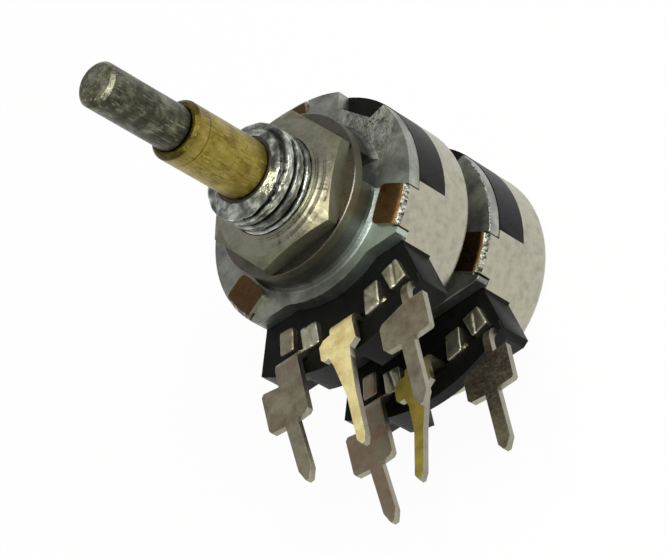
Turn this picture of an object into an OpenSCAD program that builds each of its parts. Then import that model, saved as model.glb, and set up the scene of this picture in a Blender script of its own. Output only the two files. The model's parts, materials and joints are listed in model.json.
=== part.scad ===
// Dual concentric rotary potentiometer, two sections on one bushing.
// The Z axis is the shaft axis and points to the knobs. The panel seat is at z = 0.
// The terminals point along -Y. The rear section repeats the front one further down the axis.

/* [Shafts] */
// diameter of the brass outer shaft
outer_shaft_d = 6; // [5.6:0.1:6.4]
// diameter of the steel inner shaft
inner_shaft_d = 4.5; // [3.8:0.1:4.6]
// how far the outer shaft reaches in front of the panel seat
outer_reach = 16.7; // [13:0.05:22]
// how far the inner shaft reaches in front of the outer shaft
inner_reach = 10.3; // [6:0.1:16]
// bevel on the front edge of both shafts
shaft_bevel = 0.35; // [0.1:0.05:0.5]
// radial clearance of each shaft in its bearing
running_gap = 0.04; // [0.02:0.01:0.08]

/* [Bushing and nut] */
// outside diameter of the thread
thread_d = 10; // [9:0.5:11]
// length of the bushing in front of the panel seat
bushing_length = 7.1; // [5.5:0.1:10]
// diameter of the raised round seat
boss_d = 16.4; // [15.5:0.1:16.6]
// height of the raised round seat above the plate
boss_height = 2.4; // [1.8:0.1:3]
// angle of the notch in the raised seat
notch_angle = -9; // [-20:1:5]
// width of the notch in the raised seat
notch_width = 3.2; // [2:0.1:4]
// distance across the flats of the hex nut
nut_flats = 14.2; // [13:0.1:15]
// height of the hex nut
nut_height = 2.45; // [2:0.05:3.5]
// angle of one corner of the hex nut
nut_angle = 5; // [0:1:30]
// outside diameter of the washer
washer_d = 16.6; // [16:0.1:17]
// thickness of the washer
washer_t = 1; // [0.5:0.1:1.2]

/* [Plates] */
// outside diameter of the die-cast plates
plate_d = 23.9; // [23.5:0.1:24]
// thickness of the die-cast plates
plate_t = 1.5; // [1.2:0.1:2]
// distance from the axis to the straight lower edge
plate_chord = 8.4; // [8.2:0.1:9]
// diameter of the round bulge in the lower edge of the front plate
bulge_d = 19.4; // [18.6:0.1:20]
// angle of the open notch in the rim
rim_notch_angle = 43.5; // [38:0.5:50]
// distance from the axis to the floor of the open notch
rim_notch_floor = 9.95; // [9.6:0.05:10.6]

/* [Covers] */
// outside diameter of the sheet metal covers
cover_d = 24; // [24:0.1:25]
// depth of a cover behind the base
cover_depth = 4.4; // [4.2:0.1:5.5]
// thickness of the sheet metal
sheet_t = 0.5; // [0.3:0.05:0.55]
// radius of the rounded rear edge
cover_round = 1.4; // [0.8:0.1:1.6]
// angle of the first fixing tab, the others follow at 120 degrees
tab_angle = -31.8; // [-33:0.1:-30]
// width of a fixing tab
tab_width = 4; // [3:0.1:4.4]
// distance from the axis to the end of a folded tab
tab_end = 8.8; // [8.7:0.1:9.6]
// half angle of the sheet left standing beside each tab
tower_half = 14.4; // [13:0.1:15]

/* [Bases] */
// thickness of the moulded base
base_t = 3.75; // [3.4:0.05:4.5]
// distance from the axis to the curved lower face of the terminal block
block_reach = 16.5; // [16.3:0.1:17.5]
// thickness of the block in front of its open recesses
block_face = 1.1; // [0.8:0.1:1.4]
// height of the raised strip below the clinched prongs
strip_height = 0.3; // [0.1:0.05:0.5]

/* [Terminals] */
// thickness of the terminal sheet
terminal_t = 0.75; // [0.5:0.05:0.8]
// distance between neighbouring terminal pins
pin_pitch = 7.1; // [7:0.05:7.2]
// how far the pin tips reach below the axis
pin_reach = 27.2; // [24:0.1:30]
// width of the pins of the outer terminals
pin_width = 1.45; // [1:0.05:1.8]
// gap between the plane of the base and the back of a terminal
terminal_lift = 1.05; // [0.8:0.05:1.3]
// how far the pins of the left terminals lean inwards, in degrees
pin_lean = 4; // [0:0.5:5]
// how far the rear middle pin is bent forwards, in degrees
bent_forward = 10; // [0:1:12]
// how far the rear middle pin is bent sideways, in degrees
bent_aside = 6; // [0:0.5:8]
// how far the rear middle terminal is pulled forwards
bent_lift = 1.2; // [0:0.1:1.6]

/* [Sections and rotors] */
// distance from the front section to the rear one
section_pitch = 12.15; // [12:0.05:15]
// diameter of the rotor discs
rotor_d = 17.2; // [16.6:0.1:17.6]
// thickness of the rotor discs
rotor_t = 1.5; // [1.2:0.1:1.6]
// half angle of the fixed stop
stop_half = 15; // [12:1:15]
// half angle of the moving stop
lug_half = 13; // [10:1:14]

/* [Hidden] */
$fn = 96;
plate_front = -boss_height;
plate_back = plate_front - plate_t;
base_back = plate_back - base_t;
cover_back = base_back - cover_depth;
outer_r = outer_shaft_d / 2;
inner_r = inner_shaft_d / 2;
sleeve_bore_r = inner_r + running_gap;
bearing_r = outer_r + running_gap;
relief_gap = 0.1;
bushing_bevel = 0.8;
bushing_bevel_in = 1.35;
nut_front = washer_t + nut_height;
relief_width = 0.6;
relief_depth = 0.25;
tip_z = outer_reach + inner_reach;
wall_r = cover_d / 2;
wall_in = wall_r - sheet_t;
fold_in = 0.3;
fold_z = plate_front - fold_in;
slot_floor = wall_in - fold_in - 0.2;
tab_angles = [tab_angle, tab_angle + 120, tab_angle - 120];

wafer_t = 0.5;
wafer_r = wall_in - 1.6;
wafer_in = 5.3;
track_t = 0.05;
track_out = wafer_r - 1.2;
track_in = wafer_r - 2.6;
contact_r = wafer_r - 1.55;
arm_start = min(6.3, contact_r - 2.05);
ring_t = 0.3;
ring_in = 3.9;
ring_out = 4.95;

clip_t = 0.5;
clip_front = plate_back - 0.1;
clip_room = 0.8;
outer_groove_r = outer_r - 0.4;
inner_groove_r = inner_r - 0.35;

rotor_front = base_back - 1.25;
rotor_back = rotor_front - rotor_t;
hub_r = 4.2;
hub_front = rotor_front + 0.3;
shaft_back = rotor_back - 0.2;
flat_in = 0.4;
lug_out = wall_in - 0.6;
stop_in = wafer_r + 0.2;
stop_back = rotor_front - 1.1;
wiper_t = 0.25;
peg_ring = 5.8;
peg_r = 0.45;

pad_z = plate_back + terminal_lift;
pad_front = pad_z + terminal_t;
strip_front = plate_back - 1;
strip_back = strip_front - 0.7;
neck_top = -13.25;

spacer_r = 6.4;
post_r = 0.9;
post_ring = 4.9;
post_head_r = 1.35;
post_head_h = 0.4;
cover_hole_r = 3;
clip_width = 1.6;

// Wedge-shaped ring segment of the plane between two radii.
module segment(inner, outer, from, to) {
  difference() {
    intersection() {
      circle(r = outer);
      polygon([[0, 0],
               [2 * outer * cos(from), 2 * outer * sin(from)],
               [2.6 * outer * cos((from + to) / 2), 2.6 * outer * sin((from + to) / 2)],
               [2 * outer * cos(to), 2 * outer * sin(to)]]);
    }
    circle(r = inner);
  }
}

// Outline of a plate: a disc with a straight lower edge, tab slots and one open notch.
module plate_outline() {
  difference() {
    circle(d = plate_d);
    translate([-plate_d, -plate_d - plate_chord]) square([2 * plate_d, plate_d]);
    for (a = tab_angles) {
      rotate(a)
        translate([slot_floor, -tab_width / 2 - 0.15])
          square([plate_d / 2, tab_width + 0.3]);
    }
    rotate(rim_notch_angle)
      polygon([[rim_notch_floor, -2.3], [rim_notch_floor, 2.3],
               [rim_notch_floor + plate_d / 4, 5.8], [rim_notch_floor + plate_d / 4, -5.8]]);
  }
}

// The part of the front plate that bulges below its straight edge.
module bulge_outline() {
  fillet = 2;
  reach = bulge_d / 2;
  fx = sqrt((reach + fillet) * (reach + fillet) - (plate_chord + fillet) * (plate_chord + fillet));
  shrink = reach / (reach + fillet);
  circle(r = reach);
  tangent = atan2(plate_chord + fillet, fx);
  for (side = [-1, 1]) {
    polygon(concat([[side * (fx * shrink - 0.6), 0.3 - plate_chord], [side * fx, 0.3 - plate_chord]],
                   [for (t = [0:0.25:1])
                      let (a = 90 + (90 - tangent) * t)
                      [side * (fx + fillet * cos(a)), fillet * sin(a) - plate_chord - fillet]]));
  }
}

// Round bar with a narrow relief groove whose upper edge is at the middle height.
module bar(r, bottom, middle, top) {
  rotate_extrude()
    polygon([[0, bottom], [r, bottom], [r, middle - relief_width],
             [r - relief_depth, middle - relief_width], [r - relief_depth, middle],
             [r, middle], [r, top], [0, top]]);
}

module front_plate() {
  color("silver")
  difference() {
    union() {
      translate([0, 0, plate_back]) linear_extrude(plate_t) {
        plate_outline();
        bulge_outline();
      }
      translate([0, 0, plate_front - 0.5]) cylinder(d = boss_d, h = boss_height + 0.5);
      translate([0, 0, plate_front - 0.2]) cylinder(r1 = boss_d / 2 + 0.6, r2 = boss_d / 2 - 0.1, h = 0.7);
      bar(thread_d / 2, -0.5, nut_front + relief_gap, bushing_length - bushing_bevel);
      translate([0, 0, bushing_length - bushing_bevel])
        cylinder(r1 = thread_d / 2, r2 = thread_d / 2 - bushing_bevel_in, h = bushing_bevel);
    }
    translate([0, 0, plate_back - 1]) cylinder(r = bearing_r, h = 20);
    rotate(notch_angle)
      translate([6.2, -notch_width / 2, plate_front])
        cube([4, notch_width, boss_height + 1]);
  }
}

module hex_nut() {
  color("darkkhaki")
  translate([0, 0, washer_t])
  difference() {
    intersection() {
      rotate(nut_angle) cylinder(d = nut_flats / cos(30), h = nut_height, $fn = 6);
      rotate_extrude()
        polygon([[0, 0], [nut_flats / 2 + 0.7, 0], [nut_flats / 2 + 1.3, 0.3],
                 [nut_flats / 2 + 1.3, nut_height - 1.2],
                 [nut_flats / 2 - 1.75, nut_height], [0, nut_height]]);
    }
    translate([0, 0, -1]) cylinder(r = thread_d / 2 + 0.02, h = nut_height + 2);
    translate([0, 0, nut_height - 0.15])
      cylinder(r1 = thread_d / 2, r2 = thread_d / 2 + 0.2, h = 0.2);
  }
}

module washer() {
  color("gainsboro")
  rotate_extrude()
    polygon([[thread_d / 2 + 0.15, 0], [washer_d / 2, 0],
             [washer_d / 2, washer_t - 0.25], [washer_d / 2 - 0.25, washer_t],
             [thread_d / 2 + 0.15, washer_t]]);
}

// Plan of the moulded base: a disc with a terminal block, stepped back behind the cover tabs.
module base_outline() {
  difference() {
    union() {
      circle(r = wall_r);
      intersection() {
        circle(r = block_reach);
        polygon([[-8.1, -6.5], [-11.41, -15], [-12, -20], [10, -20], [9.42, -15], [7.61, -6.5]]);
      }
    }
    for (a = tab_angles) {
      segment(wall_in, wall_r + 0.6, a - tower_half - 0.3, a + tower_half + 0.3);
    }
  }
}

// One base moulding with the seats of its three terminals.
module base(chipped) {
  difference() {
    union() {
      translate([0, 0, base_back]) linear_extrude(base_t) base_outline();
      rotate(-90)
        translate([0, 0, stop_back])
          linear_extrude(base_back - stop_back + 0.5)
            segment(stop_in, wall_in - 0.1, -stop_half, stop_half);
      translate([0, 0, plate_back - 0.5])
        linear_extrude(strip_height + 0.5)
          intersection() {
            circle(r = block_reach);
            polygon([[-10.4, -13.3], [-12, -20], [10, -20], [8.9, -12.9], [2.6, -13.9],
                     [-2.8, -13.9]]);
          }
    }
    translate([0, 0, base_back - 1]) cylinder(r = outer_r + 0.7, h = base_t + 2);
    translate([0, 0, plate_back - clip_room]) cylinder(r = 5, h = 2);
    translate([0, 0, base_back - 1])
      difference() {
        cylinder(r = wafer_r, h = wafer_t + 1);
        translate([0, 0, -1]) cylinder(r = wafer_in, h = wafer_t + 3);
      }
    for (x = [-9.2, -3.1, 4.9]) {
      translate([x, -20, base_back - 1])
        cube([x == -9.2 ? 3.3 : 3.5, 5.85, base_t - block_face + 1]);
    }
    if (chipped) {
      translate([0.3, -20, base_back - 1]) cube([5, 5.85, base_t - block_face + 1]);
    }
    for (n = [[-pin_pitch - 0.7, 3], [-1.1, 3.2]]) {
      translate([n[0], -14.3, plate_back - 0.6]) cube([n[1], 1.3, 2]);
    }
    left_terminal();
    middle_terminal(0, 0, 0);
    right_terminal(0);
  }
}

// Wafer with the printed resistance track.
module element() {
  translate([0, 0, base_back])
    difference() {
      cylinder(r = wafer_r, h = wafer_t);
      translate([0, 0, -1]) cylinder(r = wafer_in, h = wafer_t + 2);
    }
  translate([0, 0, base_back - track_t])
    linear_extrude(track_t + 0.1)
      difference() {
        circle(r = track_out);
        circle(r = track_in);
        polygon([[0, 0], [-12, -20], [12, -20]]);
      }
}

// Bent neck of a terminal and its straight leg into the base.
module neck(from, to, bend_r, lift = 0) {
  bend_y = neck_top - bend_r;
  bend_z = pad_front + lift - bend_r;
  translate([from, bend_y, bend_z])
    intersection() {
      rotate([0, 90, 0])
        difference() {
          cylinder(r = bend_r, h = to - from);
          translate([0, 0, -1]) cylinder(r = bend_r - terminal_t, h = to - from + 2);
        }
      cube([to - from, bend_r, bend_r]);
    }
  translate([from, neck_top - terminal_t, strip_back])
    cube([to - from, terminal_t, bend_z - strip_back]);
}

// Bent-over end of a prong: a low block with a conical top.
module clinched_end(x, y, turn) {
  translate([x, y, plate_back]) {
    rotate(turn)
      intersection() {
        translate([-0.85, -1.15, -0.2]) cube([1.7, 2.3, 1.15]);
        translate([0, 0, -0.2]) cylinder(r1 = 1.9, r2 = 0.75, h = 1.15);
      }
    translate([-0.6, -0.7, strip_front - plate_back - 0.1])
      cube([1.2, 1.4, plate_back - strip_front + 0.1]);
  }
}

// Buried strip of an outer terminal with its two prongs and the leg to the wafer.
module outer_strip(side, from, to, prongs) {
  x1 = pin_pitch - 1.9;
  translate([0, 0, strip_back])
    linear_extrude(strip_front - strip_back)
      polygon([[side * 2.9, -11.2], [side * 2.9, -13.4], [side * 5, -13.4],
               [side < 0 ? to : from, neck_top - terminal_t],
               [side < 0 ? from : to, neck_top - terminal_t],
               [side < 0 ? from : to, -12.7], [side * 7.6, -12.5],
               [side * 7.4, -10.3], [side * 6, -9.7], [side * 6, -7.7], [side * 4.5, -7.7],
               [side * 4.5, -10.6]]);
  translate([side * x1 - 0.7, -8.4, base_back + wafer_t])
    cube([1.4, 0.7, strip_back - base_back - wafer_t + 0.1]);
  for (p = prongs) {
    clinched_end(p[0], p[1], p[2]);
  }
}

module left_terminal() {
  x0 = -pin_pitch;
  from = x0 - 0.55;
  to = x0 + 2.2;
  translate([0, 0, pad_z])
    linear_extrude(terminal_t)
      union() {
        polygon([[from, neck_top - 1.6], [from, -16.4], [x0 - 2.35, -16.1],
                 [x0 - 2.65, -16.4], [x0 - 2.6, -20.2], [x0 - 2.35, -20.6],
                 [x0 - 0.8, -20.75], [to - 0.3, -20.6], [to, -20.3],
                 [to, neck_top - 1.6]]);
        translate([x0, -20.4])
          rotate(pin_lean)
            polygon([[-pin_width / 2, 0.5], [-pin_width / 2, 21.6 - pin_reach],
                     [-0.25, 20.3 - pin_reach], [0.25, 20.3 - pin_reach],
                     [pin_width / 2, 21.4 - pin_reach], [pin_width / 2, 0.5]]);
      }
  neck(from, to, 1.6);
  outer_strip(-1, from, to, [[1 - pin_pitch + -0.35, -11.35, -6], [-3.8, -12.35, -4]]);
}

module right_terminal(drop) {
  x0 = pin_pitch;
  from = x0 + 0.45;
  to = x0 + 1.25;
  edge = x0 + 2.7;
  translate([0, 0, pad_z])
    linear_extrude(terminal_t)
      union() {
        translate([from, -17]) square([to - from, 17 + neck_top - 2.4]);
        polygon([[from, -16.25 - drop], [x0 - 2.25, -17 - drop], [x0 - 2.6, -17.4 - drop],
                 [x0 - 2.7, -19.6 - drop], [x0 - 2.4, -19.95 - drop],
                 [x0 - 0.7, -20.1 - drop], [edge - 0.2, -20 - drop],
                 [edge, -19.8 - drop], [edge + 0.1, -16.2 - drop]]);
        translate([x0, -20 - drop])
          polygon([[-pin_width / 2, 0.5], [-pin_width / 2, 20.9 - pin_reach + drop],
                   [-0.3, 20.2 - pin_reach + drop], [0.1, 20.2 - pin_reach + drop],
                   [pin_width / 2, 21.2 - pin_reach + drop], [pin_width / 2, 0.5]]);
      }
  neck(from, to, 2.4);
  outer_strip(1, from, to, [[3.7, -12.55, 28], [6.6, -11.7, 20]]);
}

// Middle terminal with its buried strip and the collector ring at the end of it.
module middle_terminal(forward, aside, lift) {
  from = -0.85;
  to = 1.85;
  difference() {
    union() {
      translate([0, 0, pad_z + lift])
        linear_extrude(terminal_t)
          polygon([[from, neck_top - 1.35], [-1.7, -14.75], [-2.3, -15.2], [-2.4, -16.6],
                   [-2.1, -16.9], [-1.5, -16.85], [-1.2, -17.9], [0.85, -17.9],
                   [1, -16.95], [to, -16.4], [to, neck_top - 1.35]]);
      translate([0, -17.8, pad_z + lift])
        rotate([-forward, 0, -aside])
          linear_extrude(terminal_t)
            polygon([[-1.25, 0.2], [-1.2, 0], [-0.52, -3.8], [-0.5, 18.4 - pin_reach],
                     [-0.1, 17.8 - pin_reach], [0.25, 17.8 - pin_reach],
                     [0.52, 18.6 - pin_reach], [0.56, -3.8], [0.83, 0], [0.85, 0.2]]);
      neck(from, to, 1.35, lift);
      translate([from, neck_top - terminal_t, strip_back])
        cube([to - from, 2, strip_front - strip_back]);
      translate([-0.8, -12.3, strip_back])
        cube([1.6, 7.9, strip_front - strip_back]);
      translate([-0.8, -4.9, base_back - 0.1])
        cube([1.6, 0.5, strip_back - base_back + 0.2]);
      translate([0, 0, base_back - ring_t]) cylinder(r = ring_out, h = ring_t);
    }
    translate([0, 0, base_back - 1]) cylinder(r = ring_in, h = 1.5);
  }
}

// Sheet metal cover: band, rounded back, three folded tabs and holes in the back.
module cover(hole_r, posts) {
  difference() {
    union() {
      rotate_extrude()
        difference() {
          rounded_corner(wall_r, cover_back, base_back, cover_round);
          rounded_corner(wall_in, cover_back + sheet_t, base_back + 1, cover_round - sheet_t);
        }
      for (a = tab_angles) {
        intersection() {
          rotate_extrude()
            translate([wall_in, base_back - 0.5]) square([sheet_t, base_t + 0.5]);
          translate([0, 0, base_back - 1])
            linear_extrude(base_t + 2)
              segment(wall_in - 3, wall_r + 2, a - tower_half, a + tower_half);
        }
        tab(a);
      }
    }
    if (hole_r > 0) {
      translate([0, 0, cover_back - 1]) cylinder(r = hole_r, h = 3);
    }
    if (posts) {
      for (a = [30, 150, 270]) {
        rotate(a) translate([post_ring, 0, cover_back - 1]) cylinder(r = post_r, h = 3);
      }
    }
  }
}

// Filled profile of a turned cup with a rounded lower corner.
module rounded_corner(r, bottom, top, corner) {
  translate([0, bottom]) square([r - corner, top - bottom]);
  translate([0, bottom + corner]) square([r, top - bottom - corner]);
  translate([r - corner, bottom + corner]) circle(r = corner);
}

// One fixing tab, bent inwards over the front of the plate.
module tab(a) {
  out = fold_in + sheet_t;
  intersection() {
    rotate_extrude() {
      translate([wall_in, plate_back - 1]) square([sheet_t, fold_z - plate_back + 1]);
      translate([tab_end - 1, plate_front])
        square([wall_r - out - tab_end + 1, sheet_t]);
      intersection() {
        translate([wall_r - out, fold_z])
          difference() {
            circle(r = out);
            circle(r = fold_in);
          }
        translate([wall_r - out, fold_z]) square([out, out]);
      }
    }
    translate([0, 0, plate_back - 0.5])
      rotate(a)
        linear_extrude(plate_t + 4)
          union() {
            translate([tab_end + 0.6, -tab_width / 2]) square([6, tab_width]);
            translate([tab_end, 0.6 - tab_width / 2]) square([6, tab_width - 1.2]);
            translate([tab_end + 0.6, 0.6 - tab_width / 2]) circle(r = 0.6);
            translate([tab_end + 0.6, tab_width / 2 - 0.6]) circle(r = 0.6);
          }
  }
}

// Retaining ring of round section seat, open on one side.
module clip(inner, outer) {
  translate([0, 0, clip_front - clip_t])
    linear_extrude(clip_t)
      difference() {
        circle(r = outer);
        circle(r = inner);
        rotate(90) translate([0, -inner * 0.85]) square([outer + 1, inner * 1.7]);
      }
}

// Round shaft end with two flats that carries a rotor.
module flatted(r, top, bottom) {
  translate([0, 0, bottom])
    linear_extrude(top - bottom)
      intersection() {
        circle(r = r);
        translate([-r - 1, flat_in - r]) square([2 * r + 2, 2 * (r - flat_in)]);
      }
}

// Moulded rotor: disc, hub, stop lug and three pegs for the wiper.
module rotor(r) {
  difference() {
    union() {
      translate([0, 0, rotor_back]) cylinder(d = rotor_d, h = rotor_t);
      translate([0, 0, shaft_back]) cylinder(r = hub_r, h = hub_front - shaft_back);
      rotate(90)
        translate([0, 0, rotor_back])
          linear_extrude(rotor_t)
            segment(rotor_d / 2 - 1, lug_out, -lug_half, lug_half);
      for (a = [30, 150, 270]) {
        rotate(a) translate([peg_ring, 0, rotor_front - 0.5]) cylinder(r = peg_r, h = 0.9);
      }
    }
    flatted(r, hub_front + 1, shaft_back - 1);
  }
}

// Springy wiper: a ring on the pegs with one arm to the track and one to the collector ring.
module wiper() {
  difference() {
    union() {
      translate([0, 0, rotor_front])
        linear_extrude(wiper_t)
          difference() {
            circle(r = 6.6);
            circle(r = 5);
          }
      rotate(90)
        arm([[arm_start, 0], [contact_r - 1.45, 0], [contact_r - 0.55, 0.75],
             [contact_r, 0.8], [contact_r, 1.05], [contact_r - 0.65, 1],
             [contact_r - 1.55, wiper_t], [arm_start, wiper_t]]);
      rotate(-90) arm([[5.3, 0], [4.9, 0.3], [4.35, 0.6], [4.35, 0.85], [5, 0.55],
                       [5.6, wiper_t], [5.8, 0]]);
    }
    for (a = [30, 150, 270]) {
      rotate(a) translate([peg_ring, 0, rotor_front - 1]) cylinder(r = peg_r, h = 3);
    }
  }
}

// A bent strip of the wiper, drawn in the radial plane.
module arm(points) {
  translate([0, 0.6, rotor_front])
    rotate([90, 0, 0])
      linear_extrude(1.2) polygon(points);
}

module outer_shaft() {
  color("goldenrod")
  difference() {
    union() {
      bar(outer_r, clip_front, bushing_length + relief_gap, outer_reach - shaft_bevel);
      translate([0, 0, outer_reach - shaft_bevel])
        cylinder(r1 = outer_r, r2 = outer_r - shaft_bevel, h = shaft_bevel);
      translate([0, 0, clip_front - clip_t - 0.1]) cylinder(r = outer_groove_r, h = clip_t + 0.2);
      translate([0, 0, hub_front])
        cylinder(r = outer_r, h = clip_front - clip_t - hub_front);
      flatted(outer_r, hub_front + 0.1, shaft_back);
    }
    translate([0, 0, shaft_back - 1]) cylinder(r = sleeve_bore_r, h = outer_reach - shaft_back + 2);
  }
}

module inner_shaft() {
  low = section_pitch;
  color("dimgray")
  union() {
    bar(inner_r, clip_front - low, outer_reach + relief_gap, tip_z - shaft_bevel);
    translate([0, 0, tip_z - shaft_bevel])
      cylinder(r1 = inner_r, r2 = inner_r - shaft_bevel, h = shaft_bevel);
    translate([0, 0, clip_front - clip_t - 0.1 - low])
      cylinder(r = inner_groove_r, h = clip_t + 0.2);
    translate([0, 0, hub_front - low])
      cylinder(r = inner_r, h = clip_front - clip_t - hub_front);
    translate([0, 0, -low]) flatted(inner_r, hub_front + 0.1, shaft_back);
  }
}

module rear_plate() {
  color("silver")
  translate([0, 0, -section_pitch])
  difference() {
    union() {
      translate([0, 0, plate_back]) linear_extrude(plate_t) plate_outline();
      translate([0, 0, plate_front - 0.5])
        cylinder(r = spacer_r, h = section_pitch + cover_back - plate_front + 0.5);
      for (a = [30, 150, 270]) {
        rotate(a) translate([post_ring, 0, section_pitch + cover_back - 0.5])
          cylinder(r = post_r, h = sheet_t + 0.5);
        rotate(a) translate([post_ring, 0, section_pitch + cover_back + sheet_t])
          cylinder(r = post_head_r, h = post_head_h);
      }
    }
    translate([0, 0, plate_back - 1]) cylinder(r = sleeve_bore_r, h = 20);
  }
}

module front_base() {
  color([0.12, 0.12, 0.13]) base(false);
}

module front_element() {
  color("saddlebrown") element();
}

module front_left_terminal() {
  color("lightgray") left_terminal();
}

module front_middle_terminal() {
  color("khaki") middle_terminal(0, 0, 0);
}

module front_right_terminal() {
  color("lightgray") right_terminal(0);
}

module front_cover() {
  color("lightsteelblue") cover(cover_hole_r, true);
}

module front_clip() {
  color("dimgray") clip(outer_groove_r, outer_r + clip_width);
}

module front_rotor() {
  color("ivory") rotor(outer_r);
}

module front_wiper() {
  color("gold") wiper();
}

module rear_base() {
  color([0.12, 0.12, 0.13]) translate([0, 0, -section_pitch]) base(true);
}

module rear_element() {
  color("saddlebrown") translate([0, 0, -section_pitch]) element();
}

module rear_left_terminal() {
  color("lightgray") translate([0, 0, -section_pitch]) left_terminal();
}

module rear_middle_terminal() {
  color("khaki")
    translate([0, 0, -section_pitch]) middle_terminal(bent_forward, bent_aside, bent_lift);
}

module rear_right_terminal() {
  color("lightgray") translate([0, 0, -section_pitch]) right_terminal(0.6);
}

module rear_cover() {
  color("lightsteelblue") translate([0, 0, -section_pitch]) cover(0, false);
}

module rear_clip() {
  color("dimgray") translate([0, 0, -section_pitch]) clip(inner_groove_r, inner_r + clip_width);
}

module rear_rotor() {
  color("ivory") translate([0, 0, -section_pitch]) rotor(inner_r);
}

module rear_wiper() {
  color("gold") translate([0, 0, -section_pitch]) wiper();
}

front_plate();
hex_nut();
washer();
front_base();
front_element();
front_left_terminal();
front_middle_terminal();
front_right_terminal();
front_cover();
outer_shaft();
front_clip();
front_rotor();
front_wiper();
rear_plate();
rear_base();
rear_element();
rear_left_terminal();
rear_middle_terminal();
rear_right_terminal();
rear_cover();
inner_shaft();
rear_clip();
rear_rotor();
rear_wiper();
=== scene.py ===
"""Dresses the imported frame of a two-section rotary potentiometer for a studio picture."""

import json
import math

import bmesh
import bpy
from mathutils import Matrix, Vector


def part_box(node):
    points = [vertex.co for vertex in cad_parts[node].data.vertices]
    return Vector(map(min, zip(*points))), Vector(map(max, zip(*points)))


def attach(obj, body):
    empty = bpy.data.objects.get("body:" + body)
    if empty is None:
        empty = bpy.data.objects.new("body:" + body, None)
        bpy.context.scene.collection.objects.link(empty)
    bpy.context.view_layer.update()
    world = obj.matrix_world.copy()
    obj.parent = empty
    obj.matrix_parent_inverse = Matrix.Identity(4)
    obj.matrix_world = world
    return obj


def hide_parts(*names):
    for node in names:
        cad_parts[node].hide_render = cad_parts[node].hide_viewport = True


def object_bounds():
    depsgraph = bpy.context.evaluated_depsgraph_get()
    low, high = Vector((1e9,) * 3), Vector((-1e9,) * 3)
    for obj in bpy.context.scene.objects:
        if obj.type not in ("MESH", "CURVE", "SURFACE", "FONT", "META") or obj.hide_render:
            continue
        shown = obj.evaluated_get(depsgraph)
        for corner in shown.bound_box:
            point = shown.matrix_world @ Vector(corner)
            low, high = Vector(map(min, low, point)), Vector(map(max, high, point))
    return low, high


bl_info = {
    "name": "Concentric Potentiometer",
    "version": (1, 0, 0),
    "blender": (4, 5, 0),
    "location": "3D View > Sidebar > Potentiometer",
    "description": "Gives the CAD frame of a two-section potentiometer its looks",
    "category": "Add Mesh",
}

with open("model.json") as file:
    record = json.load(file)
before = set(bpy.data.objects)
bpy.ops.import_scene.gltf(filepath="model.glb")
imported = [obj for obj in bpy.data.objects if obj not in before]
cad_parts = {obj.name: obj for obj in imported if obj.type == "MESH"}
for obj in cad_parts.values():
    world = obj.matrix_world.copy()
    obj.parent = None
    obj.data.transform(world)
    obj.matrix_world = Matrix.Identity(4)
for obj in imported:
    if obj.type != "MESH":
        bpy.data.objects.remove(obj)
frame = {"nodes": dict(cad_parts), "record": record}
CAD_BOX = [list(corner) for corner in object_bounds()]
MM = 0.001
NODES = frame["nodes"]
MOUNTS = {mount["name"]: mount for mount in frame["record"]["mounts"]}
THREAD_RADIUS = MOUNTS["bushing"]["dims"]["r_mm"] * MM
BUSHING_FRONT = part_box("front_plate")[1].z
SEAT = 0.0
SECTION_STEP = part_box("rear_base")[0].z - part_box("front_base")[0].z
FLOOR_HEIGHT = CAD_BOX[0][2]
HOUSING = "housing"
OUTER = "outer_spindle"
INNER = "inner_spindle"


# Colours

def linear(code):
    """Linear colour, with alpha, of an sRGB hex value."""
    parts = [int(code[i:i + 2], 16) / 255 for i in (1, 3, 5)]
    return [p / 12.92 if p <= 0.04045 else ((p + 0.055) / 1.055) ** 2.4 for p in parts] + [1.0]


def colour(name, description, code):
    """A colour property that starts at an sRGB hex value."""
    return bpy.props.FloatVectorProperty(
        name=name, description=description, subtype="COLOR", size=4, min=0, max=1,
        default=linear(code))


def length(name, description, millimetres):
    """A length property in metres that starts at a size in millimetres."""
    return bpy.props.FloatProperty(
        name=name, description=description, unit="LENGTH", min=0, default=millimetres * MM,
        precision=5)


class PotentiometerSizes(bpy.types.PropertyGroup):
    """Sizes that only the visible model has."""
    thread_pitch: length("Thread Pitch", "Rise of the bushing's thread in one turn", 1.3)
    thread_depth: length("Thread Depth", "Height of the thread over its root", 0.62)
    thread_chamfer: length("Thread Chamfer", "Length of the bevel at the front", 0.5)
    thread_chamfer_in: length("Chamfer Depth", "Radius lost over the bevel", 1.6)
    prong_height: length("Prong Height", "Height of the clinched prongs", 0.7)
    casting_edge: length("Casting Edge", "Rounding of the cast edges", 0.16)
    nut_edge: length("Nut Edge", "Rounding of the nut's edges", 0.1)
    moulded_edge: length("Moulded Edge", "Rounding of the bases' edges", 0.07)
    sheet_edge: length("Sheet Edge", "Rounding of stamped edges", 0.09)
    cover_edge: length("Cover Edge", "Rounding of the covers' cut edges", 0.06)
    turned_edge: length("Turned Edge", "Rounding of the shafts' edges", 0.08)


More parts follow.
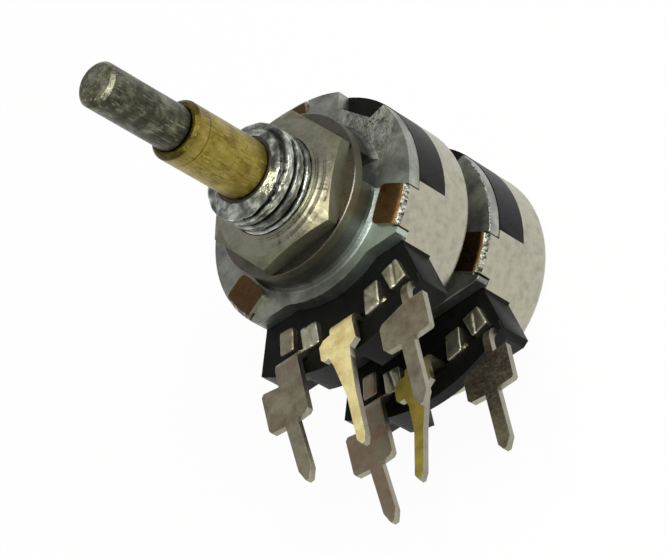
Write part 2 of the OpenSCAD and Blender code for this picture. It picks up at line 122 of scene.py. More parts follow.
class PotentiometerColours(bpy.types.PropertyGroup):
    """Colours of the metals and mouldings."""
    zinc: colour("Zinc", "Die-cast plates", "#90938B")
    nut: colour("Nut", "Worn plating of the nut's corners", "#94917A")
    nut_ring: colour("Nut Ring", "Turned ring of the nut's front", "#A09E8C")
    # the flats' colour is darker than the nut's as painted shade
    flats: colour("Nut Flats", "Dull flats of the nut", "#6A6A58")
    # the washer's colour is darkened as painted shade
    washer: colour("Washer", "Plated washer", "#6E6860")
    nickel: colour("Nickel", "Sheet covers", "#ADAA98")
    # colour of a painted brown reflection on the tabs' faces
    tab: colour("Tab Faces", "Browned faces of the folded tabs", "#5F482C")
    tin: colour("Tin", "Outer terminals", "#A8A28C")
    cut_tin: colour("Cut Tin", "Clinched prong ends", "#CFCDB6")
    sheared: colour("Sheared Edges", "Sheared edges of the terminals", "#A09C8A")
    # rear left terminal's tin, under a painted brown reflection
    stain: colour("Stained Tin", "Worn rear terminal", "#A49A86")
    brass: colour("Brass", "Front middle terminal", "#F6E8AA")
    dull_brass: colour("Dull Brass", "Rear middle terminal", "#BCA94E")
    tube: colour("Tube", "Outer shaft", "#94843C")
    steel: colour("Steel", "Inner shaft", "#48483A")
    phenolic: colour("Phenolic", "Moulded bases", "#090A08")


def sizes():
    """The size settings of this scene."""
    return bpy.context.scene.potentiometer_sizes


def colours():
    """The colour settings of this scene."""
    return bpy.context.scene.potentiometer_colours


# Node trees

MATHS = "ShaderNodeMath"
RANGE = "ShaderNodeMapRange"
NOISE = "ShaderNodeTexNoise"
RAMP = "ShaderNodeValToRGB"
SPLIT = "ShaderNodeSeparateXYZ"
JOIN = "ShaderNodeCombineXYZ"
ADD, SUBTRACT, MULTIPLY, DIVIDE, MULTIPLY_ADD = (
    {"operation": word} for word in ("ADD", "SUBTRACT", "MULTIPLY", "DIVIDE", "MULTIPLY_ADD"))


def add_node(tree, kind, settings=None, inputs=(), stops=()):
    """Adds a node with its settings, its inputs by order or by name, and a ramp's stops.

    An input that is another node's output is linked, and any other value is set. A stop is a
    position and a colour.
    """
    node = tree.nodes.new(kind)
    for name, value in (settings or {}).items():
        setattr(node, name, value)
    for key, value in inputs.items() if isinstance(inputs, dict) else enumerate(inputs):
        if isinstance(value, bpy.types.NodeSocket):
            tree.links.new(value, node.inputs[key])
        else:
            node.inputs[key].default_value = value
    if stops:
        points = node.color_ramp.elements
        for _ in stops[2:]:
            points.new(0.5)
        for point, (position, tint) in zip(points, stops):
            point.position = position
            point.color = tint
    return node


def add_rows(tree, known, rows):
    """Adds the nodes of rows of (name, kind, settings, inputs) and returns their outputs.

    Text among the inputs is an output that is known already. A row's first output goes by the
    row's name, and each of its outputs by the row's name and its own.
    """
    known = dict(known)
    for name, kind, settings, inputs in rows:
        pairs = inputs.items() if isinstance(inputs, dict) else enumerate(inputs)
        found = {key: known.get(value, value) if isinstance(value, str) else value
                 for key, value in pairs}
        outputs = add_node(tree, kind, settings, found).outputs
        known[name] = outputs[0]
        for output in outputs:
            known[f"{name} {output.name}"] = output
    return known


# Finishes

def shade(tint, factor):
    """A colour made darker or lighter by one factor."""
    return [min(1.0, channel * factor) for channel in tint[:3]] + [1.0]


def pattern(tree, place, grain_mm, detail=4.0, roughness=0.6, stretch=(1, 1, 1), shift=0.0):
    """Noise whose features are about grain_mm wide, drawn out by stretch."""
    placed = add_node(tree, "ShaderNodeMapping", None, {
        "Vector": place, "Location": (shift, shift, shift),
        "Scale": [1 / (grain_mm * MM * share) for share in stretch]})
    cloud = add_node(tree, NOISE, None, {
        "Vector": placed.outputs["Vector"], "Scale": 1.0, "Detail": detail,
        "Roughness": roughness})
    return cloud.outputs["Fac"]


def near(tree, place, spot_mm, full_mm, gone_mm, most):
    """Mask that is at its most within one distance of a spot and fades to 0 at another."""
    away = add_node(tree, "ShaderNodeVectorMath", {"operation": "DISTANCE"},
                    (place, [value * MM for value in spot_mm]))
    return add_node(tree, RANGE, None, (
        away.outputs["Value"], full_mm * MM, gone_mm * MM, most, 0)).outputs["Result"]


def axis_distance(tree, place):
    """Distance of the shaded point from the shaft axis."""
    parts = add_node(tree, SPLIT, None, (place,)).outputs
    flat = add_node(tree, JOIN, None, (parts["X"], parts["Y"]))
    return add_node(tree, "ShaderNodeVectorMath", {"operation": "LENGTH"},
                    (flat.outputs["Vector"],)).outputs["Value"]


def layered(tree, tint, layers):
    """Lays colours over a tint: a layer is a colour and the shares whose product is its mask.

    A share is a mask, or (value, low, high, least, most), which goes from least to most as the
    value goes from low to high.
    """
    for over, *shares in layers:
        mask = None
        for share in shares:
            if isinstance(share, tuple):
                share = add_node(tree, RANGE, None, share).outputs["Result"]
            mask = share if mask is None else add_node(
                tree, MATHS, MULTIPLY, (mask, share)).outputs[0]
        tint = add_node(tree, "ShaderNodeMix", {"data_type": "RGBA"},
                        {0: mask, 6: tint, 7: over}).outputs[2]
    return tint


def new_material(name):
    """Node material with a Principled shader, with its tree, shader and Object coordinates."""
    material = bpy.data.materials.new(name)
    material.use_nodes = True
    tree = material.node_tree
    tree.nodes.clear()
    shader = add_node(tree, "ShaderNodeBsdfPrincipled")
    add_node(tree, "ShaderNodeOutputMaterial", None, {"Surface": shader.outputs["BSDF"]})
    return material, tree, shader, add_node(tree, "ShaderNodeTexCoord").outputs["Object"]


def surfaced(tree, shader, tint, fine, rough, metallic, heights, depth_mm):
    """Gives the shader its colour, a roughness that follows a fine pattern, and its relief."""
    tree.links.new(tint, shader.inputs["Base Color"])
    roughness = add_node(tree, RANGE, None, (fine, 0.3, 0.7, *rough))
    tree.links.new(roughness.outputs["Result"], shader.inputs["Roughness"])
    shader.inputs["Metallic"].default_value = metallic
    total = 0.0
    for height, weight in heights:
        total = add_node(tree, MATHS, MULTIPLY_ADD, (height, weight, total)).outputs[0]
    relief = add_node(tree, "ShaderNodeBump", None, {
        "Height": total, "Strength": 1.0, "Distance": depth_mm * MM})
    tree.links.new(relief.outputs["Normal"], shader.inputs["Normal"])


def cast_zinc():
    """Zinc alloy, die cast and left as cast.

    To the eye a blue-grey skin with soft clouds, fine pale grain, a painted pool of light beside the
    boss, painted shade on the boss and round its foot, and a torn patch by the notch whose dark colour
    is painted shade.
    """
    material, tree, shader, place = new_material("die_cast_zinc")
    base = colours().zinc
    cloud = pattern(tree, place, 1.9, detail=5)
    # the real grain is near 0.05 mm, too fine to show, and is drawn coarser
    grain = pattern(tree, place, 0.2, detail=5, roughness=0.7)
    torn = pattern(tree, place, 0.75, detail=5, roughness=0.75, shift=7.0)
    # spot by the notch that gets painted shade and torn relief
    shaded_torn_spot = near(tree, place, (8.2, 5.0, -2.6), 2.5, 5.5, 1.0)
    up = add_node(tree, SPLIT, None, (place,)).outputs["Z"]
    tint = add_node(tree, RAMP, None, (cloud,), (
        (0.32, shade(base, 0.55)), (0.5, base), (0.68, shade(base, 1.5)))).outputs["Color"]
    tint = layered(tree, tint, (
        # painted pool of light: a pale green-grey patch on the plate beside the boss
        (linear("#BFD0C4"), near(tree, place, (6.5, -7.5, -2.0), 2.0, 7.0, 0.7)),
        (shade(base, 2.2), (grain, 0.6, 0.72, 0, 0.6)),
        # painted shade: the boss's top darkened to a dark grey-brown
        (linear("#3E3A36"), (up, -2.0 * MM, -1.5 * MM, 0, 0.85),
         (axis_distance(tree, place), 8.3 * MM, 8.8 * MM, 1, 0)),
        # painted shade: a darker band round the boss's foot that damps the key light's highlight on
        # its fillet
        (shade(base, 0.3), (up, -2.38 * MM, -2.25 * MM, 0, 0.7),
         (up, -1.7 * MM, -2.0 * MM, 0, 1)),
        # painted shade by the notch, laid over torn noise that also gives the patch its relief
        (shade(base, 0.22), (torn, 0.5, 0.38, 0, 0.9), shaded_torn_spot)))
    tears = add_node(tree, MATHS, MULTIPLY, (torn, shaded_torn_spot)).outputs[0]
    surfaced(tree, shader, tint, grain, (0.46, 0.28), 0.92,
             ((grain, 0.5), (cloud, 1.2), (tears, 5.0)), 0.08)
    return material


def thread_zinc():
    """The same zinc casting where a die has cut the thread.

    To the eye bright torn crests with hard glints, and painted shade in the roots, which the mesh's
    groove attribute tells apart.
    """
    material, tree, shader, place = new_material("die_cut_zinc_thread")
    base = colours().zinc
    cloud = pattern(tree, place, 0.9, stretch=(2, 2, 1))
    # the real tear marks are near 0.05 mm, too fine to show, and are drawn coarser
    grain = pattern(tree, place, 0.22, stretch=(2.5, 2.5, 1))
    groove = add_node(tree, "ShaderNodeAttribute", {"attribute_name": "groove"})
    tint = add_node(tree, RAMP, None, (cloud,), (
        (0.38, shade(base, 0.35)), (0.5, shade(base, 1.2)),
        (0.6, shade(base, 2.9)))).outputs["Color"]
    # painted shade: the roots darkened nearly to black where the groove attribute is high
    tint = layered(tree, tint, ((shade(base, 0.1), (groove.outputs["Fac"], 0.1, 0.6, 0, 0.95)),))
    surfaced(tree, shader, tint, grain, (0.3, 0.14), 0.97, ((grain, 0.6), (cloud, 2.0)), 0.06)
    return material


def broken_metal(name, dark, base, bright, depth_mm):
    """Metal whose skin has cracked or been rubbed through: bright and dark by turns, the bright turns
    partly painted glints.
    """
    material, tree, shader, place = new_material(name)
    # real cracks are near 0.1 mm wide and are drawn coarser
    crack = pattern(tree, place, 0.3, detail=5, roughness=0.7, stretch=(1, 1, 2))
    tint = add_node(tree, RAMP, None, (crack,), (
        (0.42, dark), (0.52, base), (0.62, bright))).outputs["Color"]
    surfaced(tree, shader, tint, crack, (0.35, 0.35), 1.0, ((crack, 1.0),), depth_mm)
    return material


def plated_steel(name, base, rough, mottle_mm, contrast, rings_mm=None):
    """Electroplated steel: an even tone, cloudy wear and hair-fine handling marks.

    With rings_mm it shows the tool's rings from turning, about that far apart.
    """
    material, tree, shader, place = new_material(name)
    cloud = pattern(tree, place, mottle_mm, detail=5)
    # real hair scratches and plating grain are under 0.05 mm wide and are drawn coarser
    hair = pattern(tree, place, 0.12, detail=3, stretch=(6, 1, 1))
    fine = pattern(tree, place, 0.2)
    tint = add_node(tree, RAMP, None, (cloud,), (
        (0.3, shade(base, 1 - contrast)), (0.5, base),
        (0.7, shade(base, 1 + contrast * 0.5)))).outputs["Color"]
    tint = layered(tree, tint, ((shade(base, 1.5), (hair, 0.66, 0.74, 0, 0.6)),))
    heights = ((fine, 0.5), (hair, 0.5), (cloud, 0.6))
    if rings_mm:
        turning = add_node(tree, NOISE, {"noise_dimensions": "1D"}, {
            "W": axis_distance(tree, place), "Scale": 1 / (rings_mm * MM), "Detail": 3.0})
        heights = ((fine, 0.3), (hair, 0.2), (turning.outputs["Fac"], 3.0))
    surfaced(tree, shader, tint, fine, (rough * 0.75, rough * 1.3), 1.0, heights, 0.03)
    return material


def turned_metal(name, base, dark, bright, rough, streak_mm, ring_mm=None):
    """Drawn and turned bar that has been handled: scratches along it, dark stains and pits.

    With ring_mm it has a dark line at that height and is darker above the line.
    """
    material, tree, shader, place = new_material(name)
    cloud = pattern(tree, place, 1.6, detail=5, roughness=0.65)
    # real drawing marks are near 0.05 mm wide and are drawn coarser
    streak = pattern(tree, place, streak_mm, roughness=0.7, stretch=(1, 1, 7))
    fine = pattern(tree, place, 0.18, detail=5, roughness=0.7)
    tint = add_node(tree, RAMP, None, (cloud,), (
        (0.3, dark), (0.5, base), (0.85, bright))).outputs["Color"]
    tint = layered(tree, tint, (
        (bright, (streak, 0.57, 0.66, 0, 0.7)),
        (dark, (streak, 0.45, 0.36, 0, 0.75)),
        (shade(dark, 0.6), (pattern(tree, place, 0.3, shift=5.0), 0.32, 0.4, 0.8, 0))))
    if ring_mm:
        up = add_node(tree, SPLIT, None, (place,)).outputs["Z"]
        tint = layered(tree, tint, (
            (dark, (up, ring_mm * MM, (ring_mm + 1.5) * MM, 0, 0.6)),
            (shade(dark, 0.5), (up, (ring_mm - 0.12) * MM, (ring_mm - 0.04) * MM, 0, 0.8),
             (up, ring_mm * MM, (ring_mm + 0.1) * MM, 1, 0))))
    surfaced(tree, shader, tint, fine, (rough * 0.7, rough * 1.35), 1.0,
             ((fine, 0.8), (streak, 1.5)), 0.045)
    return material


def stamped_metal(name, base, stain, amount, rough=0.36, metallic=1.0):
    """Stamped strip metal: a soft sheen, cloudy tarnish, dark specks and a few rub marks."""
    material, tree, shader, place = new_material(name)
    cloud = pattern(tree, place, 1.5)
    spot = pattern(tree, place, 0.35, detail=3, shift=4.0)
    rub = pattern(tree, place, 0.25, stretch=(1, 5, 1))
    # the real rolled grain is near 0.05 mm, too fine to show, and is drawn coarser
    fine = pattern(tree, place, 0.3)
    tint = layered(tree, base, (
        (stain, (cloud, 0.38, 0.7, 0, amount)),
        (shade(base, 0.4), (spot, 0.62, 0.72, 0, 0.6)),
        (shade(base, 1.3), (rub, 0.6, 0.72, 0, 0.35))))
    surfaced(tree, shader, tint, fine, (rough * 0.8, rough * 1.3), metallic,
             ((fine, 0.5), (cloud, 0.5)), 0.02)
    return material


def moulded(name, base, pale):
    """Moulded resin: a dull, slightly chalky skin with pale moulding specks."""
    material, tree, shader, place = new_material(name)
    cloud = pattern(tree, place, 1.8, detail=5)
    # real filler specks are under 0.1 mm and are drawn coarser
    dust = pattern(tree, place, 0.16, detail=2, shift=2.0)
    fine = pattern(tree, place, 0.25, detail=5, roughness=0.7)
    tint = add_node(tree, RAMP, None, (cloud,), ((0.35, base), (0.75, pale))).outputs["Color"]
    tint = layered(tree, tint, ((shade(pale, 3.0), (dust, 0.68, 0.76, 0, 0.5)),))
    rough = 0.42
    surfaced(tree, shader, tint, fine, (rough * 0.8, rough * 1.25), 0.0,
             ((fine, 1.0), (cloud, 0.8)), 0.02)
    shader.inputs["Specular IOR Level"].default_value = 0.12
    return material


# Mesh work

# edges sharper than this are rounded
EDGE_ANGLE = math.radians(32)
# faces that meet at less than this are one flat face
FLAT_ANGLE = math.radians(0.6)
# vertices closer than this are one
WELD = 0.002 * MM
# heights and radii that differ by less than this are the same
LEVEL = 0.01 * MM
# a face whose normal rises less than this is a side face
SIDE = 0.15
# a face whose normal rises more than this is seen from the front
FRONT = 0.3
# a face whose normal rises more than this lies flat
FLAT = 0.95


def merged_copy(node):
    """Merged copy of a CAD node's mesh with its flat faces joined."""
    form = bmesh.new()
    form.from_mesh(NODES[node].data)
    bmesh.ops.remove_doubles(form, verts=form.verts, dist=WELD)
    bmesh.ops.dissolve_limit(form, angle_limit=FLAT_ANGLE, verts=form.verts, edges=form.edges)
    return form


def new_object(name, form):
    """Object in the scene with the mesh of a form, which is used up."""
    mesh = bpy.data.meshes.new(name)
    form.to_mesh(mesh)
    form.free()
    made = bpy.data.objects.new(name, mesh)
    bpy.context.scene.collection.objects.link(made)
    return made


def evaluated_mesh(made):
    """Plain mesh of an object with its modifiers applied; an empty one is an error."""
    depsgraph = bpy.context.evaluated_depsgraph_get()
    mesh = bpy.data.meshes.new_from_object(made.evaluated_get(depsgraph))
    if not mesh.polygons:
        raise RuntimeError(f"{made.name} came out without faces")
    return mesh


def dressed(form, name, node, material, edge=None, body=HOUSING, segments=2, finishes=()):
    """Turns a form into a finished piece that stands for its CAD node, with its edges rounded.

    finishes are (material, test) pairs: a face gets the first material whose test it passes.
    """
    piece = new_object(name, form)
    piece.data.shade_smooth()
    piece.data.set_sharp_from_angle(angle=EDGE_ANGLE)
    if edge:
        bevel = piece.modifiers.new("edges", "BEVEL")
        bevel.width = edge
        bevel.segments = segments
        bevel.limit_method = "ANGLE"
        bevel.angle_limit = EDGE_ANGLE
        bevel.harden_normals = True
        bevel.use_clamp_overlap = True
        rounded = evaluated_mesh(piece)
        piece.modifiers.clear()
        piece.data = rounded
    piece.data.materials.clear()
    for finish in (material, *(pair[0] for pair in finishes)):
        piece.data.materials.append(finish)
    for face in piece.data.polygons:
        passed = [i for i, pair in enumerate(finishes, 1) if pair[1](face.center, face.normal)]
        face.material_index = passed[0] if passed else 0
    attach(piece, body)
    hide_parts(node)


def turned_solid(name, profile, steps=128):
    """Closed solid of revolution about the shaft axis from (radius, height) points in mm."""
    form = bmesh.new()
    rings = []
    for step in range(steps):
        turn = math.tau * step / steps
        rings.append([form.verts.new((r * MM * math.cos(turn), r * MM * math.sin(turn), z * MM))
                      for r, z in profile])
    for ring, following in zip(rings, rings[1:] + rings[:1]):
        for i in range(len(profile)):
            j = (i + 1) % len(profile)
            form.faces.new((ring[i], following[i], following[j], ring[j]))
    bmesh.ops.recalc_face_normals(form, faces=form.faces)
    return new_object(name, form)


def cut(form, cutter):
    """Form that is left when a solid is taken off another; both are used up."""
    blank = new_object("blank", form)
    boolean = blank.modifiers.new("cut", "BOOLEAN")
    boolean.operation = "DIFFERENCE"
    boolean.solver = "EXACT"
    boolean.object = cutter
    left = bmesh.new()
    left.from_mesh(evaluated_mesh(blank))
    bmesh.ops.remove_doubles(left, verts=left.verts, dist=WELD)
    bpy.data.objects.remove(blank)
    bpy.data.objects.remove(cutter)
    return left


def paint(node, material):
    """Gives a CAD node that keeps its own mesh a node material."""
    NODES[node].data.materials.clear()
    NODES[node].data.materials.append(material)


# Shape trees

def new_shape_tree(name, inputs):
    """Geometry Nodes tree with named inputs by socket type, and those inputs as outputs."""
    tree = bpy.data.node_groups.new(name, "GeometryNodeTree")
    tree.interface.new_socket("Geometry", in_out="OUTPUT", socket_type="NodeSocketGeometry")
    for kind, names in inputs.items():
        for each in names:
            tree.interface.new_socket(each, in_out="INPUT", socket_type="NodeSocket" + kind)
    given = add_node(tree, "NodeGroupInput").outputs
    return tree, {output.name: output for output in given}


def end_shape_tree(tree, known):
    """Ends a tree: the shape is smoothed, made real and given its material."""
    known = add_rows(tree, known, (
        ("smooth", "GeometryNodeSetShadeSmooth", None, {"Geometry": "shape"}),
        ("real", "GeometryNodeRealizeInstances", None, {"Geometry": "smooth"}),
        ("covered", "GeometryNodeSetMaterial", None, {"Geometry": "real", "Material": "Material"})))
    add_node(tree, "NodeGroupOutput", None, {"Geometry": known["covered"]})


def thread_tree():
    """Geometry Nodes tree that wraps one thread profile round the bushing.

    A flat grid, one unit long and wide, is wound up: X gives the turn and Y the place across
    the profile. The groove attribute is 1 at the roots and 0 on the crests and the bevel.
    """
    tree, given = new_shape_tree("bushing_thread", {
        "Float": ("Major Radius", "Root Radius", "Pitch", "Start", "End", "Chamfer",
                  "Front Radius", "Tear", "Waviness"),
        "Int": ("Steps per Turn", "Turns"), "Material": ("Material",)})
    known = add_rows(tree, given, (
        ("steps", MATHS, MULTIPLY, ("Steps per Turn", "Turns")),
        ("columns", MATHS, ADD, ("steps", 1)),
        ("grid", "GeometryNodeMeshGrid", None, (1.0, 1.0, "columns", 17)),
        ("spot", "GeometryNodeInputPosition", None, ()),
        ("flat", SPLIT, None, ("spot",)),
        ("along", MATHS, ADD, ("flat X", 0.5)),
        ("across", MATHS, ADD, ("flat Y", 0.5)),
        ("turn", MATHS, MULTIPLY, ("along", "Turns")),
        ("angle", MATHS, MULTIPLY, ("turn", math.tau)),
        ("cosine", MATHS, {"operation": "COSINE"}, ("angle",)),
        ("sine", MATHS, {"operation": "SINE"}, ("angle",)),
        ("risen", MATHS, ADD, ("turn", "across")),
        ("risen turns", MATHS, SUBTRACT, ("risen", 1)),
        ("wound height", MATHS, MULTIPLY_ADD, ("risen turns", "Pitch", "Start")),
        ("height", "ShaderNodeClamp", None, ("wound height", "Start", "End")),
        ("height in turns", MATHS, DIVIDE, ("height", "Pitch")),
        ("circle", JOIN, None, ("cosine", "sine", "height in turns"))))
    known = add_rows(tree, known, (
        ("sway place", "ShaderNodeVectorMath", MULTIPLY, ("circle", (11, 11, 0.5))),
        ("sway", NOISE, None, {"Vector": "sway place", "Scale": 1.0, "Detail": 3.0}),
        ("sway off", MATHS, SUBTRACT, ("sway", 0.5)),
        ("wavy", MATHS, MULTIPLY_ADD, ("sway off", "Waviness", "across")),
        ("up and down", MATHS, MULTIPLY, ("wavy", 2)),
        ("peak", MATHS, {"operation": "PINGPONG"}, ("up and down", 1)),
        ("crest", RANGE, {"interpolation_type": "SMOOTHSTEP"}, ("peak", 0.12, 0.46, 0, 1)),
        ("bevel start", MATHS, SUBTRACT, ("End", "Chamfer")),
        ("bevel", RANGE, None, ("height", "bevel start", "End", "Major Radius", "Front Radius")),
        ("runout", MATHS, MULTIPLY, ("Chamfer", 0.4)),
        ("runout end", MATHS, SUBTRACT, ("End", "runout")),
        ("fade", RANGE, None, ("height", "bevel start", "runout end", 1, 0)),
        ("off crest", MATHS, SUBTRACT, (1, "crest")),
        ("root share", MATHS, MULTIPLY, ("off crest", "fade")),
        ("depth", MATHS, SUBTRACT, ("Major Radius", "Root Radius")),
        ("deep", MATHS, MULTIPLY, ("root share", "depth")),
        ("wear place", "ShaderNodeVectorMath", MULTIPLY, ("circle", (5, 5, 2.2))),
        ("wear", NOISE, None, {"Vector": "wear place", "Scale": 1.0, "Detail": 3.0}),
        ("torn", MATHS, MULTIPLY, ("wear", "Tear")),
        ("torn off", MATHS, MULTIPLY, ("torn", "fade")),
        ("cut reach", MATHS, SUBTRACT, ("bevel", "deep")),
        ("reach", MATHS, SUBTRACT, ("cut reach", "torn off")),
        ("x", MATHS, MULTIPLY, ("reach", "cosine")),
        ("y", MATHS, MULTIPLY, ("reach", "sine")),
        ("place", JOIN, None, ("x", "y", "height")),
        ("marked", "GeometryNodeStoreNamedAttribute", None, {
            "Geometry": "grid Mesh", "Name": "groove", "Value": "root share"}),
        ("wound", "GeometryNodeSetPosition", None, {"Geometry": "marked", "Position": "place"}),
        ("shape", "GeometryNodeMergeByDistance", None, {
            "Geometry": "wound", "Distance": 0.003 * MM})))
    end_shape_tree(tree, known)
    return tree


def prong_tree():
    """Geometry Nodes tree of one clinched prong: a softened block with a crease and a dent."""
    tree, given = new_shape_tree("clinched_prong", {
        "Float": ("Width", "Length", "Height", "Squareness", "Skew", "Crease Depth",
                  "Crease Width", "Crease Angle", "Dent", "Seed"),
        "Vector": ("Position", "Turn"), "Material": ("Material",)})
    known = add_rows(tree, given, (
        ("full height", MATHS, MULTIPLY, ("Height", 2)),
        ("size", JOIN, None, ("Width", "Length", "full height")),
        ("block", "GeometryNodeMeshCube", None, {"Size": "size"}),
        ("soft", "GeometryNodeSubdivisionSurface", None, {
            "Mesh": "block Mesh", "Level": 4, "Edge Crease": "Squareness"}),
        ("spot", "GeometryNodeInputPosition", None, ()),
        ("flat", SPLIT, None, ("spot",)),
        ("x", MATHS, MULTIPLY_ADD, ("flat Y", "Skew", "flat X")),
        ("cosine", MATHS, {"operation": "COSINE"}, ("Crease Angle",)),
        ("sine", MATHS, {"operation": "SINE"}, ("Crease Angle",)),
        ("off by x", MATHS, MULTIPLY, ("x", "cosine")),
        ("off", MATHS, MULTIPLY_ADD, ("flat Y", "sine", "off by x")),
        ("off in widths", MATHS, DIVIDE, ("off", "Crease Width")),
        ("squared", MATHS, {"operation": "POWER"}, ("off in widths", 2)),
        ("falling", MATHS, MULTIPLY, ("squared", -1)),
        ("bell", MATHS, {"operation": "EXPONENT"}, ("falling",)),
        ("crease", MATHS, MULTIPLY, ("bell", "Crease Depth")),
        ("x in mm", MATHS, DIVIDE, ("x", MM)),
        ("y in mm", MATHS, DIVIDE, ("flat Y", MM)),
        ("dent place", JOIN, None, ("x in mm", "y in mm", "Seed")),
        ("dent", NOISE, None, {"Vector": "dent place", "Scale": 1.1, "Detail": 1.0}),
        ("dent off", MATHS, SUBTRACT, ("dent", 0.5)),
        ("creased", MATHS, SUBTRACT, ("flat Z", "crease")),
        ("z", MATHS, MULTIPLY_ADD, ("dent off", "Dent", "creased")),
        ("place", JOIN, None, ("x", "flat Y", "z")),
        ("moved", "GeometryNodeSetPosition", None, {"Geometry": "soft Mesh", "Position": "place"}),
        ("shape", "GeometryNodeTransform", None, {
            "Geometry": "moved", "Translation": "Position", "Rotation": "Turn"})))
    end_shape_tree(tree, known)
    return tree


def generated(tree, name, values):
    """Plain mesh object made by a Geometry Nodes tree from named input values."""
    carrier = bpy.data.objects.new(name, bpy.data.meshes.new(name))
    bpy.context.scene.collection.objects.link(carrier)
    modifier = carrier.modifiers.new("shape", "NODES")
    modifier.node_group = tree
    for item in tree.interface.items_tree:
        if item.in_out == "INPUT":
            modifier[item.identifier] = values[item.name]
    carrier.update_tag()
    mesh = evaluated_mesh(carrier)
    carrier.modifiers.clear()
    carrier.data = mesh
    return carrier


# Operators

# the bore's wall lies inside this radius and the thread outside it
BORE_WALL = 3.5 * MM
# how far the casting under the thread stays below the thread's bevel
UNDER_BEVEL = 0.15 * MM
# faces of a plate's rim lie outside this radius
RIM_RADIUS = 10.5 * MM
# how far the thread is moved up, and how deep its crests are torn
THREAD_SHIFT = 0.2 * MM
THREAD_TEAR = 0.14 * MM


class POT_OT_castings(bpy.types.Operator):
    """Front and rear die-cast plates with rounded cast edges"""
    bl_idname = "pot.castings"
    bl_label = "Cast Plates"

    def execute(self, context):
        base = colours().zinc
        material = cast_zinc()
        # cast zinc rubbed through its grey skin: rims with bright and dark spots side by side, the
        # bright spots partly painted glints
        rubbed_and_glinting = broken_metal("rubbed_and_glinting_zinc_edges", shade(base, 0.35), base, shade(base, 2.8), 0.06)
        rims = ((rubbed_and_glinting, lambda spot, normal: FRONT < normal.z < FLAT
                 and spot.xy.length > RIM_RADIUS),)
        front = merged_copy("front_plate")
        self.make_room_for_thread(front)
        for section, form in (("front", front), ("rear", merged_copy("rear_plate"))):
            dressed(form, section + "_casting", section + "_plate", material,
                    sizes().casting_edge, finishes=rims)
        return {"FINISHED"}

    def make_room_for_thread(self, form):
        """Draws the bushing's outside in to the thread's root and under its bevel."""
        root = THREAD_RADIUS - sizes().thread_depth
        for vertex in form.verts:
            reach = vertex.co.xy.length
            if vertex.co.z < SEAT - LEVEL or not BORE_WALL < reach < THREAD_RADIUS + 2 * LEVEL:
                continue
            up = max(0.0, vertex.co.z - BUSHING_FRONT + sizes().thread_chamfer)
            bevel = THREAD_RADIUS - up * sizes().thread_chamfer_in / sizes().thread_chamfer
            vertex.co.xy *= min(root, bevel - UNDER_BEVEL) / reach


class POT_OT_thread(bpy.types.Operator):
    """Thread of the bushing"""
    bl_idname = "pot.thread"
    bl_label = "Thread"

    def execute(self, context):
        pitch = sizes().thread_pitch
        piece = generated(thread_tree(), "bushing_thread", {
            "Major Radius": THREAD_RADIUS, "Root Radius": THREAD_RADIUS - sizes().thread_depth,
            "Pitch": pitch, "Start": SEAT - pitch + THREAD_SHIFT, "End": BUSHING_FRONT,
            "Chamfer": sizes().thread_chamfer,
            "Front Radius": THREAD_RADIUS - sizes().thread_chamfer_in,
            "Tear": THREAD_TEAR, "Waviness": 0.2, "Steps per Turn": 96,
            "Turns": math.ceil((BUSHING_FRONT - SEAT) / pitch) + 2, "Material": thread_zinc()})
        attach(piece, HOUSING)
        return {"FINISHED"}


# the nut's turned ring in mm: its outer radius, width and height, and its fall per mm of radius
RING_RADIUS = 6.95
RING_WIDTH = 2.4
RING_HEIGHT = 2.82
RING_FALL = 0.22
# the washer's rounded rim: its width, where its wall ends, and the small edge that is left
RIM_WIDTH = 0.3 * MM
RIM_FOOT = 0.2 * MM
RIM_EDGE = 0.08 * MM


class POT_OT_nut_and_washer(bpy.types.Operator):
    """Hex nut with a turned ring on its front, and washer"""
    bl_idname = "pot.nut_and_washer"
    bl_label = "Nut and Washer"

    def execute(self, context):
        # zinc-plated steel worn at its corners: pale, soft highlights and cloudy wear
        corner = plated_steel("worn_nut_corners", colours().nut, 0.34, 1.8, 0.3)
        # plated steel with the tool's rings: streaks of light that run round the axis
        ring = plated_steel("turned_nut_front", colours().nut_ring, 0.3, 2.2, 0.35, rings_mm=0.42)
        # plated steel, rougher, with painted shade: its colour darker than the nut's, so the flats
        # come out dark olive with little shine
        dull = plated_steel("shaded_dull_nut_flats", colours().flats, 0.42, 1.2, 0.2)
        # plated washer sheet: a warm grey darkened as painted shade, that mirrors its surroundings
        # softly
        bright = plated_steel("plated_washer", colours().washer, 0.3, 1.5, 0.3)
        inner = RING_RADIUS - RING_WIDTH
        above = RING_HEIGHT + RING_WIDTH
        cutter = turned_solid("ring_cutter", (
            (RING_RADIUS, RING_HEIGHT), (RING_RADIUS, above), (inner, above),
            (inner, RING_HEIGHT + RING_WIDTH * RING_FALL)))
        # the nut's flats and the washer's sides get the darker steel as painted shade
        flats = (dull, lambda spot, normal: abs(normal.z) < SIDE)
        dressed(cut(merged_copy("hex_nut"), cutter), "panel_nut", "hex_nut", corner,
                sizes().nut_edge, finishes=(
                    flats, (ring, lambda spot, normal: spot.xy.length < RING_RADIUS * MM)))
        washer = merged_copy("washer")
        self.sharpen_rim(washer)
        dressed(washer, "flat_washer", "washer", bright, finishes=(flats,))
        return {"FINISHED"}

    def sharpen_rim(self, form):
        """Gives the washer's front rim a small bevel in place of the CAD's wide one."""
        low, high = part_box("washer")
        for vertex in form.verts:
            reach = vertex.co.xy.length
            if reach < high.x - RIM_WIDTH or vertex.co.z < low.z + RIM_FOOT:
                continue
            if vertex.co.z < high.z - LEVEL:
                vertex.co.z = high.z - RIM_EDGE
            else:
                vertex.co.xy *= (high.x - RIM_EDGE) / reach


